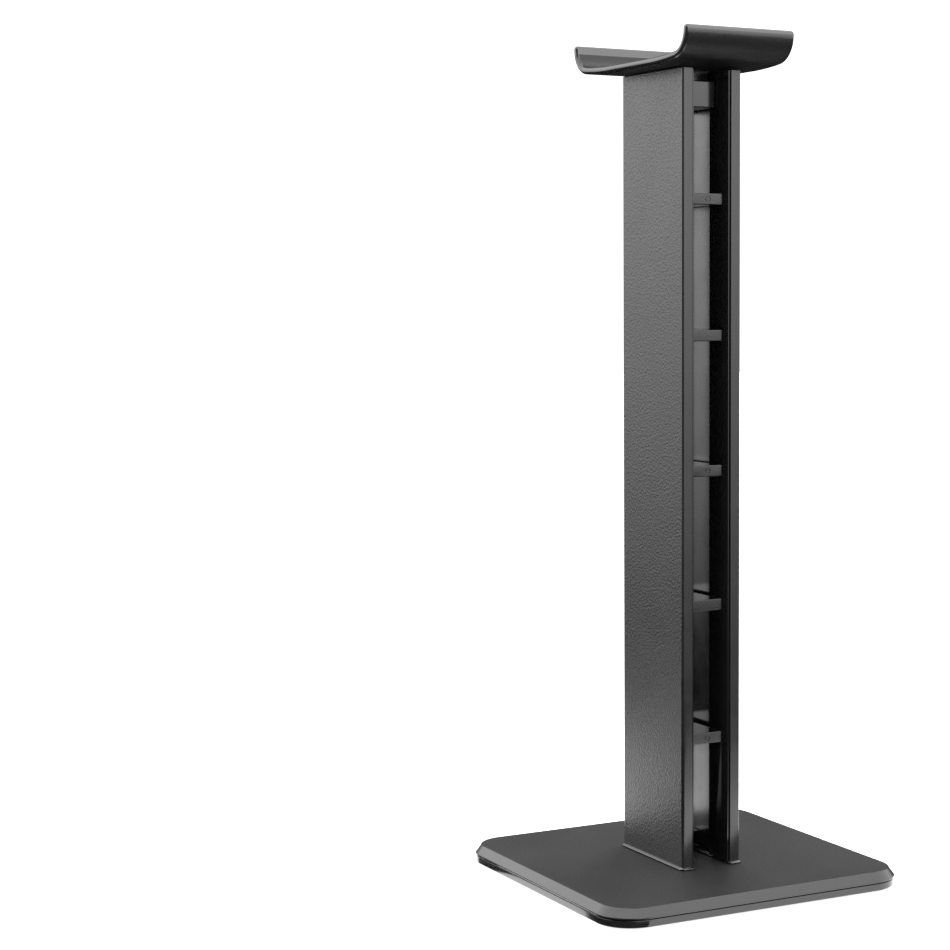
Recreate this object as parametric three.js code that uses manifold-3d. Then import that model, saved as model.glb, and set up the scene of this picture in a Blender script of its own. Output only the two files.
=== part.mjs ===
// Headphone stand: square weighted base, two-panel column held together by two slim
// ladders whose shelves meet in the middle, and a shallow trough on top for the headband.
// Units are millimetres. X runs across the column from panel to panel, Y runs through
// the open cells, Z is up. The origin is under the middle of the base, on the desk.

import * as THREE from 'three';
import { mergeVertices } from 'three/addons/utils/BufferGeometryUtils.js';
import Module from 'manifold-3d';

const wasm = await Module();
wasm.setup();

// ---------------------------------------------------------------- driving dimensions
const GAP = 0.3;                      // clearance kept between neighbouring pieces

// Base
const BASE_HALF = 50.7;               // half of the base's widest square
const BEVEL_IN = 2;                   // how far the top face is set in by the bevel
const TOP_CORNER_RADIUS = 9.5;        // plan corner radius of the top face
const FOOT_PROUD = 0.7;               // how far the rubber feet stand below the cover
const COVER_TOP = 2.9;
const COVER_FLOOR_TOP = 2.0;
const SHELL_RIM_HEIGHT = 0.4;         // short upright band under the bevel
const BASE_TOP = 6.2;
const SHELL_CEILING = 5.0;            // underside of the shell's top wall
const POCKET_HALF_X = 33;             // ballast pocket, half size
const POCKET_HALF_Y = 45;

// Column
const COLUMN_HALF_X = 10.1;
const COLUMN_HALF_Y = 18.55;
const COLUMN_TOP = 246.0;
const PANEL_LIP_INNER_X = 6.6;        // inner face of a panel at the channel mouth
const PANEL_RECESS_X = 7.3;           // inner face of a panel behind its lips
const PANEL_LIP_WIDTH = 2.2;
const PANEL_EDGE_RADIUS = 0.8;
const PANEL_TONGUE_BOTTOM = 3.0;
const FLANGE_REACH = 0.8;             // foot flange around each panel
const FLANGE_HEIGHT = 0.6;

// Core (two alike ladders back to back; the rear one is the front one turned half round)
const RAIL_INNER_X = 5.1;
const CORE_FRONT_Y = 16.05;           // front plane shared by rails and shelves
const RAIL_REAR_Y = 8.5;              // the rails end here; the panels show behind them
const SHELF_COUNT = 5;
const SHELF_PITCH = 40.6;
const SHELF_HEIGHT = 3.4;
const MIDDLE_SHELF_Z = 126.5;
const NOSE_FRONT_Y = 18.0;            // sloping nose of each rail, inside the panel's lip
const NOSE_OUTER_X = 6.3;
const NOSE_TIP_X = 6.1;               // inner corner of the nose at its front
const BOSS_TOP = 12;                  // screw boss at the foot of one rail
const BOSS_INNER_X = 0.9;
const BOSS_FRONT_Y = 8.4;
const BOSS_REAR_Y = 4.0;
const PIN_MARK_RADIUS = 1.0;          // round moulding mark in the middle of some shelves
const PIN_MARK_DEPTH = 0.2;

// Cradle
const CRADLE_HALF_X = 18.5;
const CRADLE_THICKNESS = 2.2;
const CRADLE_FLAT_HALF_Y = 12;        // flat middle of the trough
const CRADLE_SWEEP_RADIUS = 150;      // gentle rise outside the flat middle
const CRADLE_SWEEP_END_Y = 27.6;
const CRADLE_LIP_RADIUS = 7;          // centre-line radius of the upturned lips
const CRADLE_LIP_ANGLE = 84;          // degrees
const CRADLE_LIP_STRAIGHT = 0.8;
const CRADLE_EDGE_CHAMFER = 0.6;
const NECK_HALF_X = 4.8;              // neck and its block fit between the rails
const NECK_HALF_Y = 7.9;
const NECK_BLOCK_HALF_Y = 12.1;
const NECK_BLOCK_BOTTOM = 235.0;
const NECK_BLOCK_TOP = 242.8;

// Rubber feet
const FOOT_POSITION = 40;
const FOOT_RADIUS = 5.5;
const FOOT_HEIGHT = 1.6;

// Screws
const COVER_SCREW = { headRadius: 2.2, headHeight: 1.2, shankRadius: 1.1, length: 4.4 };
const COVER_SCREW_X = 41;
const COVER_SCREW_Y = 14;
const COLUMN_SCREW = { headRadius: 2.2, headHeight: 1.1, shankRadius: 1.1, length: 10.2 };
const COLUMN_SCREW_X = 3.0;
const COLUMN_SCREW_Y = 6.2;
const COLUMN_SCREW_BOTTOM = 0.8;
const NECK_SCREW = { headRadius: 1.4, headHeight: 0.8, shankRadius: 0.7, length: 5 };
const NECK_SCREW_Y = 10.4;
const NECK_SCREW_Z = 238.9;
const NECK_SCREW_SET_IN = 0.1;        // head sits just below the rail's outer face

// ---------------------------------------------------------------- derived dimensions
const COVER_HALF = BASE_HALF - GAP;
const COVER_CORNER_RADIUS = TOP_CORNER_RADIUS + BEVEL_IN - GAP;
const SHELL_BOTTOM = COVER_TOP + GAP;
const COLUMN_SEAT = BASE_TOP + GAP;   // lowest level of pieces standing on the base
const FLANGE_TOP = COLUMN_SEAT + FLANGE_HEIGHT;
const RAIL_OUTER_X = PANEL_RECESS_X - GAP;
const RAIL_BOTTOM = FLANGE_TOP + GAP;
const CRADLE_BOTTOM = COLUMN_TOP + GAP;

// ---------------------------------------------------------------- materials
function material(colour, roughness, metalness) {
  return new THREE.MeshStandardMaterial({ color: colour, roughness, metalness });
}

const grained = () => material(0x1b1b1c, 0.62, 0);
const gloss = () => material(0x0c0c0d, 0.12, 0);
const rubber = () => material(0x1f1f1f, 0.9, 0);
const blackScrew = () => material(0x2c2c2e, 0.38, 1);
const steel = () => material(0x8f9295, 0.42, 1);

// ---------------------------------------------------------------- solid helpers
function toSolid(geometry) {
  const bare = geometry.clone();
  bare.deleteAttribute('normal');
  bare.deleteAttribute('uv');
  const merged = mergeVertices(bare, 1e-5);
  return new wasm.Manifold(new wasm.Mesh({
    numProp: 3,
    vertProperties: new Float32Array(merged.attributes.position.array),
    triVerts: new Uint32Array(merged.index.array),
  }));
}

function toGeometry(solid) {
  const mesh = solid.getMesh();
  const geometry = new THREE.BufferGeometry();
  geometry.setAttribute('position', new THREE.BufferAttribute(mesh.vertProperties, mesh.numProp));
  geometry.setIndex(new THREE.BufferAttribute(mesh.triVerts, 1));
  const flat = geometry.toNonIndexed();
  flat.computeVertexNormals();
  return flat;
}

function box(x0, x1, y0, y1, z0, z1) {
  const geometry = new THREE.BoxGeometry(x1 - x0, y1 - y0, z1 - z0);
  geometry.translate((x0 + x1) / 2, (y0 + y1) / 2, (z0 + z1) / 2);
  return toSolid(geometry);
}

// A box centred on the Z axis in plan.
function centredBox(halfX, halfY, z0, z1) {
  return box(-halfX, halfX, -halfY, halfY, z0, z1);
}

function uprightCylinder(radius, x, y, z0, z1, segments = 32) {
  const geometry = new THREE.CylinderGeometry(radius, radius, z1 - z0, segments);
  geometry.rotateX(Math.PI / 2);
  geometry.translate(x, y, (z0 + z1) / 2);
  return toSolid(geometry);
}

function roundedRectangle(x0, x1, y0, y1, radius) {
  const shape = new THREE.Shape();
  shape.moveTo(x0 + radius, y0);
  shape.lineTo(x1 - radius, y0);
  shape.absarc(x1 - radius, y0 + radius, radius, -Math.PI / 2, 0);
  shape.lineTo(x1, y1 - radius);
  shape.absarc(x1 - radius, y1 - radius, radius, 0, Math.PI / 2);
  shape.lineTo(x0 + radius, y1);
  shape.absarc(x0 + radius, y1 - radius, radius, Math.PI / 2, Math.PI);
  shape.lineTo(x0, y0 + radius);
  shape.absarc(x0 + radius, y0 + radius, radius, Math.PI, 1.5 * Math.PI);
  return shape;
}

// Straight prism of a plan shape between two heights.
function prism(shape, z0, z1, curveSegments = 8) {
  const geometry = new THREE.ExtrudeGeometry(shape, {
    depth: z1 - z0,
    bevelEnabled: false,
    curveSegments,
  });
  geometry.translate(0, 0, z0);
  return toSolid(geometry);
}

// Prism that widens by `reach` from both ends over `rise`; the shape is the narrow end.
function bevelledPrism(shape, z0, z1, reach, rise, curveSegments = 8) {
  const geometry = new THREE.ExtrudeGeometry(shape, {
    depth: z1 - z0 - 2 * rise,
    bevelEnabled: true,
    bevelSize: reach,
    bevelThickness: rise,
    bevelSegments: 1,
    curveSegments,
  });
  geometry.translate(0, 0, z0 + rise);
  return toSolid(geometry);
}

// Screw standing on its head at the origin, shank up along Z, hexagonal drive recess.
// `grow` swells every surface, which gives the matching clearance hole.
function screwSolid(size, countersunk, grow) {
  const neckRadius = size.shankRadius + grow;
  const rimRadius = size.headRadius + grow;
  const headTop = size.headHeight + grow;
  const shoulder = countersunk ? headTop * 0.25 : headTop;
  const profile = [
    new THREE.Vector2(0, -grow),
    new THREE.Vector2(rimRadius, -grow),
    new THREE.Vector2(rimRadius, shoulder),
    new THREE.Vector2(neckRadius, headTop),
    new THREE.Vector2(neckRadius, size.length + grow),
    new THREE.Vector2(0, size.length + grow),
  ];
  const lathe = new THREE.LatheGeometry(profile, 24);
  lathe.rotateX(Math.PI / 2);
  const body = toSolid(lathe);
  if (grow > 0) {
    return body;
  }
  const driveRadius = size.headRadius * 0.45;
  const driveDepth = size.headHeight * 0.7;
  const drive = new THREE.CylinderGeometry(driveRadius, driveRadius, 2 * driveDepth, 6);
  drive.rotateX(Math.PI / 2);
  return body.subtract(toSolid(drive));
}

// ---------------------------------------------------------------- assembly
const group = new THREE.Group();
group.name = 'headphone_stand';

function addPart(name, solid, partMaterial) {
  const mesh = new THREE.Mesh(toGeometry(solid), partMaterial);
  mesh.name = name;
  group.add(mesh);
}

// Calls build(signX, signY, number) for the four corners of a rectangle.
function forEachCorner(build) {
  let number = 1;
  for (const signX of [-1, 1]) {
    for (const signY of [-1, 1]) {
      build(signX, signY, number);
      number += 1;
    }
  }
}

// ---------------------------------------------------------------- screws
// The two column screws stand diagonally across from each other.
const columnScrewAt = (sign, grow) => screwSolid(COLUMN_SCREW, false, grow)
  .translate([sign * COLUMN_SCREW_X, sign * COLUMN_SCREW_Y, COLUMN_SCREW_BOTTOM]);

const coverScrewAt = (signX, signY, grow) => screwSolid(COVER_SCREW, true, grow)
  .translate([signX * COVER_SCREW_X, signY * COVER_SCREW_Y, FOOT_PROUD]);

// Neck screws lie along X, heads outwards.
const neckScrewAt = (signX, signY, grow) => screwSolid(NECK_SCREW, true, grow)
  .rotate([0, -signX * 90, 0])
  .translate([signX * (RAIL_OUTER_X - NECK_SCREW_SET_IN), signY * NECK_SCREW_Y, NECK_SCREW_Z]);

// ---------------------------------------------------------------- base
function panelSocket(signX, clearance, z0, z1) {
  const inner = PANEL_LIP_INNER_X - clearance;
  const outer = COLUMN_HALF_X + clearance;
  const halfY = COLUMN_HALF_Y + clearance;
  return box(Math.min(signX * inner, signX * outer), Math.max(signX * inner, signX * outer),
    -halfY, halfY, z0, z1);
}

function buildBaseShell() {
  const topHalf = BASE_HALF - BEVEL_IN;
  const topShape = roundedRectangle(-topHalf, topHalf, -topHalf, topHalf, TOP_CORNER_RADIUS);
  const bevelRise = BASE_TOP - SHELL_BOTTOM - SHELL_RIM_HEIGHT;
  let shell = bevelledPrism(topShape, SHELL_BOTTOM - bevelRise, BASE_TOP, BEVEL_IN, bevelRise);
  const keep = centredBox(BASE_HALF + 1, BASE_HALF + 1, SHELL_BOTTOM, BASE_TOP + 1);
  shell = shell.intersect(keep);
  shell = shell.subtract(centredBox(POCKET_HALF_X, POCKET_HALF_Y, SHELL_BOTTOM - 1, SHELL_CEILING));
  for (const sign of [-1, 1]) {
    shell = shell.subtract(panelSocket(sign, GAP, SHELL_BOTTOM, BASE_TOP + 1));
    shell = shell.subtract(columnScrewAt(sign, GAP));
  }
  forEachCorner((signX, signY) => {
    shell = shell.subtract(coverScrewAt(signX, signY, GAP));
  });
  return shell;
}

function buildBaseCover() {
  const chamfer = 0.3;
  const half = COVER_HALF - chamfer;
  const shape = roundedRectangle(-half, half, -half, half, COVER_CORNER_RADIUS - chamfer);
  let cover = bevelledPrism(shape, FOOT_PROUD, COVER_TOP, chamfer, chamfer);
  cover = cover.subtract(centredBox(POCKET_HALF_X, POCKET_HALF_Y, COVER_FLOOR_TOP, COVER_TOP + 1));
  forEachCorner((signX, signY) => {
    const recessTop = FOOT_HEIGHT + GAP;
    cover = cover.subtract(uprightCylinder(FOOT_RADIUS + GAP, signX * FOOT_POSITION,
      signY * FOOT_POSITION, 0, recessTop, 40));
    cover = cover.subtract(coverScrewAt(signX, signY, GAP));
  });
  for (const sign of [-1, 1]) {
    cover = cover.subtract(columnScrewAt(sign, GAP));
  }
  return cover;
}

function buildBallast() {
  let plate = centredBox(POCKET_HALF_X - GAP, POCKET_HALF_Y - GAP,
    COVER_FLOOR_TOP + GAP, SHELL_CEILING - GAP);
  for (const sign of [-1, 1]) {
    plate = plate.subtract(panelSocket(sign, 2 * GAP, COVER_FLOOR_TOP, SHELL_CEILING));
    plate = plate.subtract(columnScrewAt(sign, GAP));
  }
  return plate;
}

function buildRubberFoot(signX, signY) {
  const profile = [
    new THREE.Vector2(0, 0),
    new THREE.Vector2(FOOT_RADIUS - 0.3, 0),
    new THREE.Vector2(FOOT_RADIUS, 0.3),
    new THREE.Vector2(FOOT_RADIUS, FOOT_HEIGHT),
    new THREE.Vector2(0, FOOT_HEIGHT),
  ];
  const lathe = new THREE.LatheGeometry(profile, 40);
  lathe.rotateX(Math.PI / 2);
  return toSolid(lathe).translate([signX * FOOT_POSITION, signY * FOOT_POSITION, 0]);
}

addPart('base_top_shell', buildBaseShell(), grained());
addPart('base_cover', buildBaseCover(), gloss());
addPart('ballast_plate', buildBallast(), steel());
forEachCorner((signX, signY, number) => {
  addPart(`rubber_foot_${number}`, buildRubberFoot(signX, signY), rubber());
  addPart(`cover_screw_${number}`, coverScrewAt(signX, signY, 0), blackScrew());
});

// ---------------------------------------------------------------- side panels
// Built for the +X side: a flat board with rounded outer edges, a lip along each
// channel mouth, a chamfered flange standing on the base and a tongue through it.
function buildPanel() {
  const outer = roundedRectangle(PANEL_LIP_INNER_X, COLUMN_HALF_X,
    -COLUMN_HALF_Y, COLUMN_HALF_Y, PANEL_EDGE_RADIUS);
  const recessHalfY = COLUMN_HALF_Y - PANEL_LIP_WIDTH;
  const recess = box(PANEL_LIP_INNER_X - 1, PANEL_RECESS_X, -recessHalfY, recessHalfY,
    FLANGE_TOP, COLUMN_TOP + 1);
  const flangeShape = roundedRectangle(PANEL_LIP_INNER_X - 0.2, COLUMN_HALF_X + 0.2,
    -COLUMN_HALF_Y - 0.2, COLUMN_HALF_Y + 0.2, PANEL_EDGE_RADIUS);
  const flange = bevelledPrism(flangeShape, COLUMN_SEAT - FLANGE_HEIGHT, FLANGE_TOP,
    FLANGE_REACH - 0.2, FLANGE_HEIGHT - 0.05)
    .intersect(centredBox(BASE_HALF, BASE_HALF, COLUMN_SEAT, FLANGE_TOP));
  return prism(outer, PANEL_TONGUE_BOTTOM, COLUMN_TOP, 4)
    .subtract(recess)
    .add(flange);
}

const rightPanel = buildPanel();
addPart('panel_right', rightPanel, grained());
addPart('panel_left', rightPanel.mirror([1, 0, 0]), grained());

// ---------------------------------------------------------------- core halves
// Built for the -Y side: two rails with sloping noses, five shelves that reach the middle
// of the column, and a boss on the -X rail for the column screw.
function buildRail() {
  const section = new THREE.Shape([
    new THREE.Vector2(RAIL_INNER_X, -RAIL_REAR_Y),
    new THREE.Vector2(RAIL_INNER_X, -CORE_FRONT_Y),
    new THREE.Vector2(NOSE_TIP_X, -NOSE_FRONT_Y),
    new THREE.Vector2(NOSE_OUTER_X, -NOSE_FRONT_Y),
    new THREE.Vector2(NOSE_OUTER_X, -CORE_FRONT_Y),
    new THREE.Vector2(RAIL_OUTER_X, -CORE_FRONT_Y),
    new THREE.Vector2(RAIL_OUTER_X, -RAIL_REAR_Y),
  ]);
  return prism(section, RAIL_BOTTOM, COLUMN_TOP - GAP);
}

function shelfCentreZ(shelf) {
  return MIDDLE_SHELF_Z + (shelf - (SHELF_COUNT + 1) / 2) * SHELF_PITCH;
}

function buildCoreHalf() {
  const back = -GAP / 2;
  const rail = buildRail();
  let half = rail.add(rail.mirror([1, 0, 0]));
  for (let shelf = 1; shelf <= SHELF_COUNT; shelf += 1) {
    const centreZ = shelfCentreZ(shelf);
    half = half.add(box(-RAIL_INNER_X, RAIL_INNER_X, -CORE_FRONT_Y, back,
      centreZ - SHELF_HEIGHT / 2, centreZ + SHELF_HEIGHT / 2));
  }
  half = half.add(box(-RAIL_INNER_X, -BOSS_INNER_X, -BOSS_FRONT_Y, -BOSS_REAR_Y,
    COLUMN_SEAT, BOSS_TOP));
  half = half.add(box(-RAIL_OUTER_X, -RAIL_INNER_X, -RAIL_REAR_Y, -BOSS_REAR_Y,
    RAIL_BOTTOM, BOSS_TOP));
  for (let shelf = 1; shelf <= SHELF_COUNT; shelf += 2) {
    const mark = new THREE.CylinderGeometry(PIN_MARK_RADIUS, PIN_MARK_RADIUS, 2 * PIN_MARK_DEPTH, 20);
    half = half.subtract(toSolid(mark).translate([0, -CORE_FRONT_Y, shelfCentreZ(shelf)]));
  }
  half = half.subtract(columnScrewAt(-1, GAP));
  for (const side of [-1, 1]) {
    half = half.subtract(neckScrewAt(side, -1, GAP));
  }
  return half;
}

const frontHalf = buildCoreHalf();
addPart('core_front_half', frontHalf, gloss());
addPart('core_rear_half', frontHalf.rotate([0, 0, 180]), gloss());
addPart('column_screw_front', columnScrewAt(-1, 0), blackScrew());
addPart('column_screw_rear', columnScrewAt(1, 0), blackScrew());

// ---------------------------------------------------------------- cradle
// Centre line of the trough's section in the Y-Z plane, from the middle to one lip.
function cradleCentreLine() {
  const start = CRADLE_BOTTOM + CRADLE_THICKNESS / 2;
  const points = [{ y: 0, z: start, angle: 0 }];
  const sweepTurn = Math.asin((CRADLE_SWEEP_END_Y - CRADLE_FLAT_HALF_Y) / CRADLE_SWEEP_RADIUS);
  const sweepSteps = 5;
  for (let step = 0; step <= sweepSteps; step += 1) {
    const angle = sweepTurn * step / sweepSteps;
    points.push({
      y: CRADLE_FLAT_HALF_Y + CRADLE_SWEEP_RADIUS * Math.sin(angle),
      z: start + CRADLE_SWEEP_RADIUS * (1 - Math.cos(angle)),
      angle,
    });
  }
  const bend = points[points.length - 1];
  const lipAngle = THREE.MathUtils.degToRad(CRADLE_LIP_ANGLE);
  const lipSteps = 9;
  for (let step = 1; step <= lipSteps; step += 1) {
    const angle = sweepTurn + (lipAngle - sweepTurn) * step / lipSteps;
    points.push({
      y: bend.y + CRADLE_LIP_RADIUS * (Math.sin(angle) - Math.sin(sweepTurn)),
      z: bend.z + CRADLE_LIP_RADIUS * (Math.cos(sweepTurn) - Math.cos(angle)),
      angle,
    });
  }
  const last = points[points.length - 1];
  points.push({
    y: last.y + CRADLE_LIP_STRAIGHT * Math.cos(lipAngle),
    z: last.z + CRADLE_LIP_STRAIGHT * Math.sin(lipAngle),
    angle: lipAngle,
  });
  return points;
}

// Closed outline: underside from -Y to +Y, rounded lip end, upper side back, rounded end.
function cradleSection(halfThickness) {
  const line = cradleCentreLine();
  const offset = (point, distance) => ({
    y: point.y - distance * Math.sin(point.angle),
    z: point.z + distance * Math.cos(point.angle),
  });
  const under = line.map((point) => offset(point, -halfThickness));
  const upper = line.map((point) => offset(point, halfThickness)).reverse();
  const tip = line[line.length - 1];
  const capSteps = 6;
  const cap = [];
  for (let step = 1; step < capSteps; step += 1) {
    const turn = tip.angle - Math.PI / 2 + Math.PI * step / capSteps;
    cap.push({
      y: tip.y + halfThickness * Math.cos(turn),
      z: tip.z + halfThickness * Math.sin(turn),
    });
  }
  const right = [...under, ...cap, ...upper];
  const left = right.slice(1, -1).reverse().map((point) => ({ y: -point.y, z: point.z }));
  return new THREE.Shape([...right, ...left].map((point) => new THREE.Vector2(point.y, point.z)));
}

function buildCradle() {
  const section = cradleSection(CRADLE_THICKNESS / 2 - CRADLE_EDGE_CHAMFER);
  const plate = new THREE.ExtrudeGeometry(section, {
    depth: 2 * (CRADLE_HALF_X - CRADLE_EDGE_CHAMFER),
    bevelEnabled: true,
    bevelSize: CRADLE_EDGE_CHAMFER,
    bevelThickness: CRADLE_EDGE_CHAMFER,
    bevelSegments: 1,
  });
  plate.rotateX(Math.PI / 2);
  plate.rotateZ(Math.PI / 2);
  plate.translate(-CRADLE_HALF_X + CRADLE_EDGE_CHAMFER, 0, 0);
  const embedded = CRADLE_BOTTOM + CRADLE_THICKNESS / 2;
  let cradle = toSolid(plate);
  cradle = cradle.add(centredBox(NECK_HALF_X, NECK_HALF_Y, NECK_BLOCK_BOTTOM, embedded));
  cradle = cradle.add(centredBox(NECK_HALF_X, NECK_BLOCK_HALF_Y, NECK_BLOCK_BOTTOM, NECK_BLOCK_TOP));
  forEachCorner((signX, signY) => {
    cradle = cradle.subtract(neckScrewAt(signX, signY, GAP));
  });
  return cradle;
}

addPart('cradle', buildCradle(), grained());
forEachCorner((signX, signY, number) => {
  addPart(`neck_screw_${number}`, neckScrewAt(signX, signY, 0), blackScrew());
});

export default group;
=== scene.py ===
import math

import bmesh
import bpy
from mathutils import Matrix, Vector


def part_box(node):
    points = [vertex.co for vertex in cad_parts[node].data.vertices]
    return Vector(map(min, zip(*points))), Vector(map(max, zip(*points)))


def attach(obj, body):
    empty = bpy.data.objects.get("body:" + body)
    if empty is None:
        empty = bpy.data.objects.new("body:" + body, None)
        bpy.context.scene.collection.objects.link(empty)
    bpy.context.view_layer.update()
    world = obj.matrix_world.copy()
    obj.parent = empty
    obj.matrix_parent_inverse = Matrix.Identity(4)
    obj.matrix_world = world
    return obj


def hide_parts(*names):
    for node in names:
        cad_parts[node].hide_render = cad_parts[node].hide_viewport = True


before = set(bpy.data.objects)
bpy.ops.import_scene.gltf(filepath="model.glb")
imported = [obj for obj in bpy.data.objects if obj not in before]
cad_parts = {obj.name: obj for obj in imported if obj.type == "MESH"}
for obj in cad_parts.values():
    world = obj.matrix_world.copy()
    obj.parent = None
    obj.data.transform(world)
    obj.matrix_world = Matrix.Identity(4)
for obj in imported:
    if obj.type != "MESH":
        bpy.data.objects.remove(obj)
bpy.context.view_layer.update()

MM = 0.001
BODY = "root"

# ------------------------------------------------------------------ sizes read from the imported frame
SHELL_LOW, SHELL_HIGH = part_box("base_top_shell")
COVER_LOW, COVER_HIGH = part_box("base_cover")
PANEL_LOW, PANEL_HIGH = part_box("panel_right")
CORE_LOW, CORE_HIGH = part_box("core_front_half")
CRADLE_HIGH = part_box("cradle")[1]
FOOT_LOW, FOOT_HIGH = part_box("rubber_foot_4")
COVER_SCREW_LOW, COVER_SCREW_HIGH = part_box("cover_screw_4")
COLUMN_SCREW_LOW, COLUMN_SCREW_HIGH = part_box("column_screw_rear")

BASE_TOP = SHELL_HIGH.z
BASE_HALF = SHELL_HIGH.x
COVER_HALF = COVER_HIGH.x
COLUMN_TOP = PANEL_HIGH.z
RAIL_OUTER_X = CORE_HIGH.x
NOSE_FRONT_Y = -CORE_LOW.y
CORE_BACK_Y = -CORE_HIGH.y
CRADLE_HALF_X = CRADLE_HIGH.x

# ------------------------------------------------------------------ sizes repeated from the CAD
GAP = 0.3 * MM
BEVEL_IN = 2.0 * MM
CORNER_RADIUS = 11.5 * MM
SHELL_RIM = 0.4 * MM
SHELL_CEILING = 5.0 * MM
COVER_FLOOR_TOP = 2.0 * MM
POCKET_HALF_X = 33.0 * MM
POCKET_HALF_Y = 45.0 * MM
FLANGE_REACH = 0.8 * MM
FLANGE_HEIGHT = 0.6 * MM
PANEL_LIP_INNER_X = 6.6 * MM
PANEL_RECESS_X = 7.3 * MM
PANEL_LIP_WIDTH = 2.2 * MM
PANEL_EDGE_RADIUS = 0.8 * MM
PANEL_CROWN = 0.07 * MM              # swelling of the panels' narrow end faces
RAIL_INNER_X = 5.1 * MM
CORE_FRONT_Y = 16.05 * MM
RAIL_REAR_Y = 8.5 * MM
SHELF_COUNT = 5
SHELF_PITCH = 40.6 * MM
SHELF_HEIGHT = 3.4 * MM
MIDDLE_SHELF_Z = 126.5 * MM
NOSE_OUTER_X = 6.3 * MM
NOSE_TIP_X = 6.1 * MM
BOSS_TOP = 12.0 * MM
BOSS_INNER_X = 0.9 * MM
BOSS_FRONT_Y = 8.4 * MM
BOSS_REAR_Y = 4.0 * MM
PIN_MARK_RADIUS = 1.0 * MM
PIN_MARK_DEPTH = 0.2 * MM
CRADLE_THICKNESS = 2.2 * MM
CRADLE_FLAT_HALF_Y = 12.0 * MM
CRADLE_SWEEP_RADIUS = 150.0 * MM
CRADLE_SWEEP_END_Y = 27.6 * MM
CRADLE_LIP_RADIUS = 7.0 * MM
CRADLE_LIP_ANGLE = math.radians(84)
CRADLE_LIP_STRAIGHT = 0.8 * MM
NECK_HALF_X = 4.8 * MM
NECK_HALF_Y = 7.9 * MM
NECK_BLOCK_HALF_Y = 12.1 * MM
NECK_BLOCK_BOTTOM = 235.0 * MM
NECK_BLOCK_TOP = 242.8 * MM
NECK_SCREW_Y = 10.4 * MM
NECK_SCREW_Z = 238.9 * MM
NECK_HEAD_RADIUS = 1.4 * MM
NECK_HEAD_HEIGHT = 0.8 * MM
NECK_SHANK_RADIUS = 0.7 * MM
COLUMN_SCREW_X = 3.0 * MM
COLUMN_SCREW_Y = 6.2 * MM
COLUMN_SCREW_RADIUS = 1.1 * MM
COLUMN_HEAD_HEIGHT = 1.1 * MM
COVER_SCREW_RADIUS = 1.1 * MM
COVER_HEAD_HEIGHT = 1.2 * MM

COLUMN_HALF_X = PANEL_HIGH.x - FLANGE_REACH
COLUMN_HALF_Y = PANEL_HIGH.y - FLANGE_REACH
COLUMN_SEAT = BASE_TOP + GAP
FLANGE_TOP = COLUMN_SEAT + FLANGE_HEIGHT
RAIL_BOTTOM = FLANGE_TOP + GAP
CRADLE_BOTTOM = COLUMN_TOP + GAP
COLUMN_HEAD_RADIUS = (COLUMN_SCREW_HIGH.x - COLUMN_SCREW_LOW.x) / 2
COVER_HEAD_RADIUS = (COVER_SCREW_HIGH.x - COVER_SCREW_LOW.x) / 2
PAST = 1 * MM                        # how far cutters reach past the surface they open

# ------------------------------------------------------------------ camera
# Stand-off, height and aim that put the camera where the photographer stood.
CAMERA_AT = Vector((-0.3476, -0.6004, 0.1787))
CAMERA_TURN = math.radians(-30.05)
CAMERA_TILT = math.radians(-4.491)
CAMERA_SENSOR = 36.0
CAMERA_LENS = 86.03
CAMERA_SHIFT_X = -0.2158


def add_camera():
    data = bpy.data.cameras.new("camera")
    data.sensor_width = CAMERA_SENSOR
    data.lens = CAMERA_LENS
    data.shift_x = CAMERA_SHIFT_X
    data.clip_start = 0.01
    data.clip_end = 50
    camera = bpy.data.objects.new("camera", data)
    camera.location = CAMERA_AT
    camera.rotation_euler = (math.pi / 2 + CAMERA_TILT, 0, CAMERA_TURN)
    bpy.context.scene.collection.objects.link(camera)
    bpy.context.scene.camera = camera


# ------------------------------------------------------------------ node helpers
def new_material(name):
    material = bpy.data.materials.new(name)
    material.use_nodes = True
    tree = material.node_tree
    shader = tree.nodes["Principled BSDF"]
    return material, tree, shader


def object_point(tree):
    """The point on the surface in the object's own metres."""
    return tree.nodes.new("ShaderNodeTexCoord").outputs["Object"]


def noise(tree, point, size, detail=2.0, roughness=0.5):
    """Noise whose features are about `size` metres across."""
    node = tree.nodes.new("ShaderNodeTexNoise")
    node.inputs["Scale"].default_value = 1.0 / size
    node.inputs["Detail"].default_value = detail
    node.inputs["Roughness"].default_value = roughness
    tree.links.new(point, node.inputs["Vector"])
    return node.outputs["Fac"]


def cells(tree, point, size, smooth=0.6):
    """Pebble cells about `size` metres across, high in the middle of each cell."""
    node = tree.nodes.new("ShaderNodeTexVoronoi")
    node.feature = "SMOOTH_F1"
    node.inputs["Scale"].default_value = 1.0 / size
    node.inputs["Smoothness"].default_value = smooth
    tree.links.new(point, node.inputs["Vector"])
    return node.outputs["Distance"]


def ramp(tree, value, low, high, low_at=0.3, high_at=0.7):
    """Maps a texture value between two stops onto the range low to high."""
    node = tree.nodes.new("ShaderNodeMapRange")
    node.inputs["From Min"].default_value = low_at
    node.inputs["From Max"].default_value = high_at
    node.inputs["To Min"].default_value = low
    node.inputs["To Max"].default_value = high
    tree.links.new(value, node.inputs["Value"])
    return node.outputs["Result"]


def blend_colours(tree, value, dark, light, low_at=0.3, high_at=0.7):
    node = tree.nodes.new("ShaderNodeValToRGB")
    node.color_ramp.elements[0].position = low_at
    node.color_ramp.elements[0].color = (*dark, 1)
    node.color_ramp.elements[1].position = high_at
    node.color_ramp.elements[1].color = (*light, 1)
    tree.links.new(value, node.inputs["Fac"])
    return node.outputs["Color"]


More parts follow.
